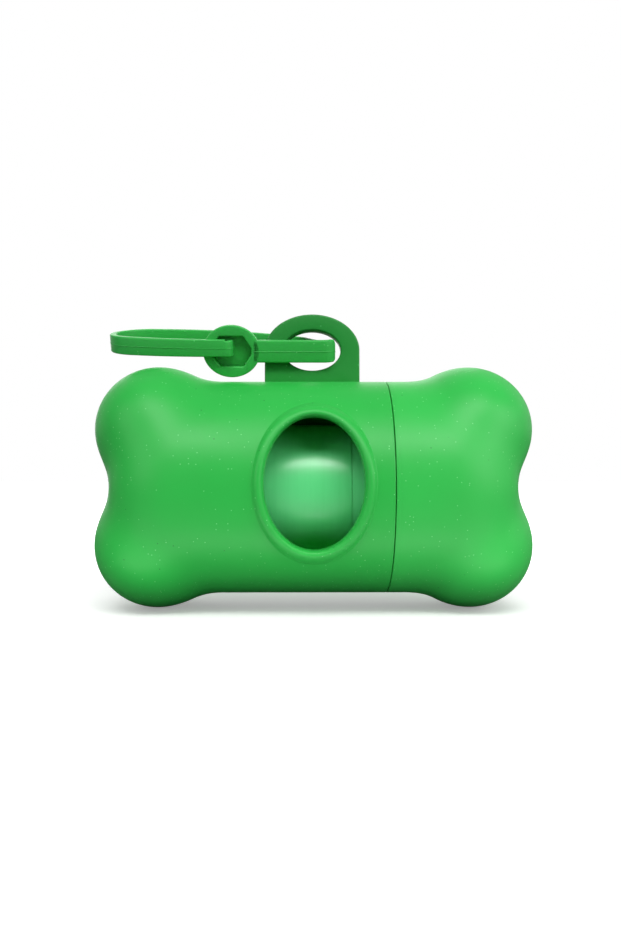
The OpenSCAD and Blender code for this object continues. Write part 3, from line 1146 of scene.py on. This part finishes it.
    def band(self, tree: ShapeTree) -> Object:
        """The band itself, swept along the plan."""
        points, _, sizes = self.walk()
        line = np.column_stack([points, np.zeros(len(points))])
        base = rail("strap_plan", line, {"lift": sizes[:, 0] * MM, "width": sizes[:, 1] * MM})
        return tree.bake(base, "strap_band",
                         {"Thickness": self.strap_t * MM, "Drawn Width": self.drawn_w * MM,
                          "Edge Radius": self.edge_r * MM, "Edge Steps": 4,
                          "Finish": Finish.STRAP.material()})

    def band_parting(self, tree: ShapeTree) -> Object:
        """The mould's parting line along the band's outer face."""
        points, headings, sizes = self.walk()
        out = self.strap_t / 2 - self.line_sunk
        line = np.stack([points[:, 0] + np.sin(headings) * out,
                         points[:, 1] - np.cos(headings) * out, sizes[:, 0]], axis=1)
        return tree.bake(rail("band_line", line), "strap_parting_line",
                         {"Ridge Radius": self.line_r * MM, "Sides": 6,
                          "Finish": Finish.STRAP.material()})

    def eye(self) -> Object:
        """The eye, an oval ring with a slot whose corners are cut on the slant."""
        n = 128
        outer = oval((self.eye_x, 0.0), self.eye_w / 2, self.eye_h / 2, n)
        w, h = self.slot_w / 2, self.slot_h / 2
        cut_x, cut_y = self.slot_cut_x, self.slot_cut_y
        way = oval((0.0, 0.0), 1.0, 1.0, n)
        c, s = np.abs(way[:, 0]), np.abs(way[:, 1])
        slant = (w * cut_y + (h - cut_y) * cut_x) / (c * cut_y + s * cut_x)
        reach = np.minimum(np.minimum(w / np.maximum(c, TINY), h / np.maximum(s, TINY)), slant)
        slot = way * reach[:, None] + np.array([self.eye_x, 0.0])
        half = self.strap_t / 2
        return plate_with_hole(outer, slot, (-self.bar_y - half, -self.bar_y + half),
                               self.edge_r).build("strap_eye")

    def head(self) -> Object:
        """The locking head behind the eye."""
        a, b, half, flat = self.head_w / 2, self.head_h / 2, self.strap_t / 2, self.head_flat
        work, rings = Patchwork(), []
        edge = ((a * flat, 0.0), (0.3, 0.0), (0.09, 0.09), (0.0, 0.3))
        back = [(inset, -half + rise) for inset, rise in edge]
        for inset, y in back + [(inset, -y) for inset, y in reversed(back)]:
            ring = oval((self.eye_x, 0.0), a - inset, b - min(inset, b * flat), 96)
            rings.append(at_depth(ring, y - self.head_y))
        work.grid(np.array(rings), closed=True)
        for ring, y in ((rings[0], -half), (rings[-1], half)):
            work.fan(ring, (self.eye_x, y - self.head_y, 0.0))
        return work.build("locking_head")

    def build(self, band: ShapeTree, ridge: ShapeTree) -> None:
        """Make, dress and place the strap's pieces."""
        pieces = (self.band(band), self.eye(), self.head(), self.band_parting(ridge))
        for piece in pieces:
            move_points(piece, self.tilted)
        settle(pieces, Finish.STRAP, "strap")
        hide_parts("strap")


@dataclass
class BagRoll:
    """The roll: a card core, the wound bags and the leading bag's film over them."""

    axis_z: float = 21.85
    roll_r: float = 16.0
    half: float = 28.6
    film_t: float = 0.25
    film_edge_x: float = 6.8
    core_r: float = 8.0
    core_wall: float = 1.3
    core_half: float = 29.1
    slack_r: float = 12.85
    slack_up: float = 0.7
    slack_from_deg: float = -102.0
    slack_grows_deg: float = 34.0
    slack_to_deg: float = 150.0
    slack_fades_deg: float = 60.0
    ripple_in: float = 0.05
    ripple_h: float = 0.04
    seam_turns: float = 3.0
    seam_thick: float = 0.09
    layer_turns: float = 26.0
    layer_thick: float = 0.12
    layer_proud: float = 0.04
    layer_in: float = 0.3
    layer_out: float = 0.8
    seam_in: float = 0.3
    core_edge: float = 0.15
    bags_edge: float = 0.4
    film_edge: float = 0.1
    film_in: float = 0.05
    columns: int = 180

    def sagged(self, points: np.ndarray) -> np.ndarray:
        """Let the loose turns sink towards the core, behind the window and on top.

        Args:
            points: Points of shape (..., 3), in millimetres, of a round roll.

        Returns:
            The points of the slack roll, which lies inside the round one.
        """
        y, z = points[..., 1], points[..., 2] - self.axis_z
        radius, angle = np.hypot(y, z), np.arctan2(z, -y)
        tight = self.slack_up * np.sin(angle) + np.sqrt(
            self.slack_r ** 2 - (self.slack_up * np.cos(angle)) ** 2)
        deg = np.degrees(angle)
        near = np.clip((deg - self.slack_from_deg) / self.slack_grows_deg, 0, 1)
        near = near * np.clip((self.slack_to_deg - deg) / self.slack_fades_deg, 0, 1)
        wave = np.sin(3 * angle + 0.35 * points[..., 0]) * (1 - near)
        ripple = self.ripple_in + self.ripple_h * wave
        sink = (self.roll_r - tight) * near * near * (3 - 2 * near) + ripple
        share = np.clip((radius - self.core_r) / (self.roll_r - self.core_r), 0, 1)
        scale = 1 - sink * share / np.maximum(radius, TINY)
        return np.stack([points[..., 0], y * scale, self.axis_z + z * scale], axis=-1)

    def tube(self, name: str, radii: Pair, ends: Pair, edge: float) -> Object:
        """A tube along X with rounded edges, as slack as the roll is there.

        Args:
            name: Name of the piece.
            radii: Outer and inner radius.
            ends: Places of its ends along X.
            edge: Rounding radius of its edges.

        Returns:
            The tube.
        """
        (outer, inner), (left, right) = radii, ends
        arc = [(edge * (1 - math.cos(math.radians(a))), edge * (1 - math.sin(math.radians(a))))
               for a in (0, 22.5, 45, 67.5, 90)]
        profile = [(left, inner + edge)]
        profile += [(left + a, outer - b) for a, b in arc]
        profile += [(x, outer) for x in np.linspace(left + edge, right - edge, 60)[1:-1]]
        profile += [(right - a, outer - b) for a, b in reversed(arc)]
        profile += [(right - a, inner + b) for a, b in arc]
        profile += [(left + a, inner + b) for a, b in reversed(arc)]
        work = Patchwork()
        work.grid(self.sagged(lathe(profile, self.axis_z, once_round(self.columns))), closed=True)
        return work.build(name)

    def thread(self, tree: ShapeTree, name: str, turns: float, radii: Pair, reach: Pair,
               thick: float, finish: Finish) -> Object:
        """A fine thread wound about the roll's axis.

        Args:
            tree: The winding tree.
            name: Name of the piece.
            turns: Number of turns.
            radii: Radius of the first turn and of the last.
            reach: Place of its start along X, and how far it advances from there.
            thick: Radius of the thread.
            finish: Its finish.

        Returns:
            The thread, about the roll's axis.
        """
        made = tree.bake(rail(name + "_start", np.zeros((2, 3))), name,
                         {"Turns": turns, "Inner Radius": radii[0] * MM,
                          "Outer Radius": radii[1] * MM, "Length": reach[1] * MM,
                          "Thread Radius": thick * MM, "Points per Turn": 48, "Sides": 6,
                          "Finish": finish.material()})
        move_points(made, lambda p: MM * self.sagged(np.stack(
            [p[:, 2] / MM + reach[0], p[:, 0] / MM, p[:, 1] / MM + self.axis_z], axis=1)))
        return made

    def build(self, winding: ShapeTree) -> None:
        """Make, dress and place the roll's pieces."""
        bore, under_film = self.core_r - self.core_wall, self.roll_r - self.film_t
        seam_half, end_x = self.core_half - self.seam_in, self.half - self.layer_proud
        core = self.tube("card_core", (self.core_r, bore), (-self.core_half, self.core_half),
                         self.core_edge)
        seam = self.thread(winding, "core_seam", self.seam_turns, (bore, bore),
                           (-seam_half, 2 * seam_half), self.seam_thick, Finish.CARD)
        bags = self.tube("wound_film", (under_film, self.core_r), (-self.half, self.half),
                         self.bags_edge)
        film = self.tube("leading_film", (self.roll_r, under_film),
                         (-self.half + self.film_in, self.film_edge_x), self.film_edge)
        layers = (self.core_r + self.layer_in, self.roll_r - self.layer_out)
        ends = (self.thread(winding, f"film_layers_{side}", self.layer_turns, layers, (x, 0.0),
                            self.layer_thick, Finish.FILM)
                for side, x in (("left", -end_x), ("right", end_x)))
        settle((core, seam), Finish.CARD, "bag_roll")
        settle((bags, film, *ends), Finish.FILM, "bag_roll")
        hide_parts("roll_core")
        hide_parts("wound_bags")
        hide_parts("leading_bag")


# ---------------------------------------------------------------- studio


@dataclass
class Softbox:
    """A rectangular light that faces a point."""

    name: str
    place: Place
    aim: Place
    size: Pair
    power: float

    def build(self) -> None:
        """Add the light to the scene."""
        lamp = bpy.data.lights.new(self.name, "AREA")
        lamp.shape = "RECTANGLE"
        lamp.size, lamp.size_y = self.size
        lamp.energy = self.power
        made = linked(self.name, lamp)
        made.location = self.place
        made.visible_camera = False
        away = np.array(self.place) - np.array(self.aim)
        away = away / np.linalg.norm(away)
        made.rotation_euler = (math.acos(away[2]), 0.0, math.atan2(away[0], -away[1]))


@dataclass
class Studio:
    """A pale sweep, soft lights and the camera."""

    sensor: float = 36.0
    focal_px: float = 719.5
    frame_px: tuple[int, int] = (621, 931)
    middle_px: Pair = (313.66, 465.07)
    distance: float = 141.3
    axis_z: float = 23.3
    above_axis: float = 1.76
    pitch_deg: float = 1.0
    yaw: float = 0.0071
    floor_tone: float = 0.9
    floor_bounce: float = 0.15
    world_tone: float = 0.02
    glow: float = 0.5
    floor_half: float = 4000.0
    white_from: float = 0.03
    white_at: float = 0.18
    least_white: float = 0.28
    glow_full_at: float = 0.6

    def paper(self) -> Material:
        """Pale paper that turns white far off and throws back less light than it shows."""
        made, tree = new_material("studio_paper")
        seen = add_node(tree, "ShaderNodeLightPath").outputs["Is Camera Ray"]
        away = add_node(tree, "ShaderNodeVectorMath", {0: own_place(tree)}, operation="LENGTH")
        far = ranged(tree, away.outputs["Value"], self.white_from, self.white_at,
                     (self.least_white, 1.0), "SMOOTHSTEP")
        tone, bounce = (self.floor_tone,) * 3, (self.floor_bounce,) * 3
        fill(tree.nodes["Principled BSDF"],
             {"Base Color": mixed(tree, seen, (*bounce, 1.0), (*tone, 1.0)), "Roughness": 0.95,
              "Specular IOR Level": 0.0, "Emission Color": (1, 1, 1, 1),
              "Emission Strength": math_node(tree, "MULTIPLY", far, seen)})
        return made

    def sweep(self) -> None:
        """The floor, a broad sheet that fades into the white room."""
        side = np.linspace(-self.floor_half, self.floor_half, 9)
        work = Patchwork()
        work.grid(np.array([[(x, y, 0.0) for x in side] for y in side]))
        sheet = work.build("studio_floor", 60.0)
        if sheet.data.polygons[0].normal.z < 0:
            sheet.data.flip_normals()
        sheet.data.materials.append(self.paper())

    def camera(self) -> None:
        """The camera at the photograph's place, with its lens."""
        lens = bpy.data.cameras.new("camera")
        width, height = self.frame_px
        lens.sensor_width = self.sensor
        lens.lens = self.focal_px / height * self.sensor
        lens.shift_x = (width / 2 - self.middle_px[0]) / height
        lens.shift_y = (self.middle_px[1] - height / 2) / height
        lens.clip_start, lens.clip_end = 0.005, 10.0
        made = linked("camera", lens)
        made.location = (-self.distance * math.sin(self.yaw) * MM,
                         -self.distance * math.cos(self.yaw) * MM,
                         (self.axis_z + self.above_axis) * MM)
        made.rotation_euler = (math.radians(90 + self.pitch_deg), 0.0, -self.yaw)
        bpy.context.scene.camera = made

    def boxes(self) -> tuple[Softbox, ...]:
        """The soft boxes round the case."""
        middle = (0.0, 0.0, 0.025)
        return (
            Softbox("high_box", (0.0, -0.36, 0.64), middle, (0.62, 0.16), 1.15),
            Softbox("key_box", (0.0, -0.48, 0.56), middle, (0.62, 0.16), 2.8),
            Softbox("left_box", (-0.55, -0.4, 0.3), middle, (0.5, 0.5), 1.4),
            Softbox("right_box", (0.55, -0.4, 0.3), middle, (0.5, 0.5), 2.5),
            Softbox("side_box", (0.68, -0.05, 0.2), middle, (0.4, 0.4), 0.5),
            Softbox("back_box", (-0.1, 0.6, 0.24), middle, (0.6, 0.5), 1.8),
            Softbox("low_strip", (0.0, -0.026, 0.001), (0.0, -0.021, 0.02), (0.13, 0.012),
                    0.0088),
            Softbox("front_strip", (0.0, -0.042, 0.001), (0.0, -0.02, 0.02), (0.13, 0.02),
                    0.0035),
        )

    def room(self) -> World:
        """A white room whose light comes from behind the case."""
        world = bpy.data.worlds.new("room")
        world.use_nodes = True
        tree = world.node_tree
        seen = add_node(tree, "ShaderNodeLightPath").outputs["Is Camera Ray"]
        way = add_node(tree, "ShaderNodeTexCoord").outputs["Generated"]
        back = add_node(tree, "ShaderNodeSeparateXYZ", {0: way}).outputs[1]
        behind = ranged(tree, back, 0.0, self.glow_full_at, (self.world_tone, self.glow),
                        "SMOOTHSTEP")
        strength = add_node(tree, "ShaderNodeMix", {0: seen, 2: behind, 3: 1.0})
        fill(tree.nodes["Background"], {"Color": (1, 1, 1, 1), "Strength": strength.outputs[0]})
        return world

    def build(self) -> None:
        """Set up the studio: the floor, the camera, the soft boxes and the room."""
        self.sweep()
        self.camera()
        for box in self.boxes():
            box.build()
        bpy.context.scene.world = self.room()
        bpy.context.scene.view_settings.view_transform = "Standard"


# ---------------------------------------------------------------- assembly


def main() -> None:
    """Build the studio, then each sub-assembly of the case."""
    logging.basicConfig(level=logging.INFO, format="%(name)s: %(message)s")
    grain_group()
    tint_group()
    Studio().build()
    ridge = ridge_tree()
    barrel = Barrel()
    barrel.build(ridge)
    EndCap(barrel).build()
    Strap().build(band_tree(), ridge)
    BagRoll().build(winding_tree())


if __name__ == "__main__":
    main()
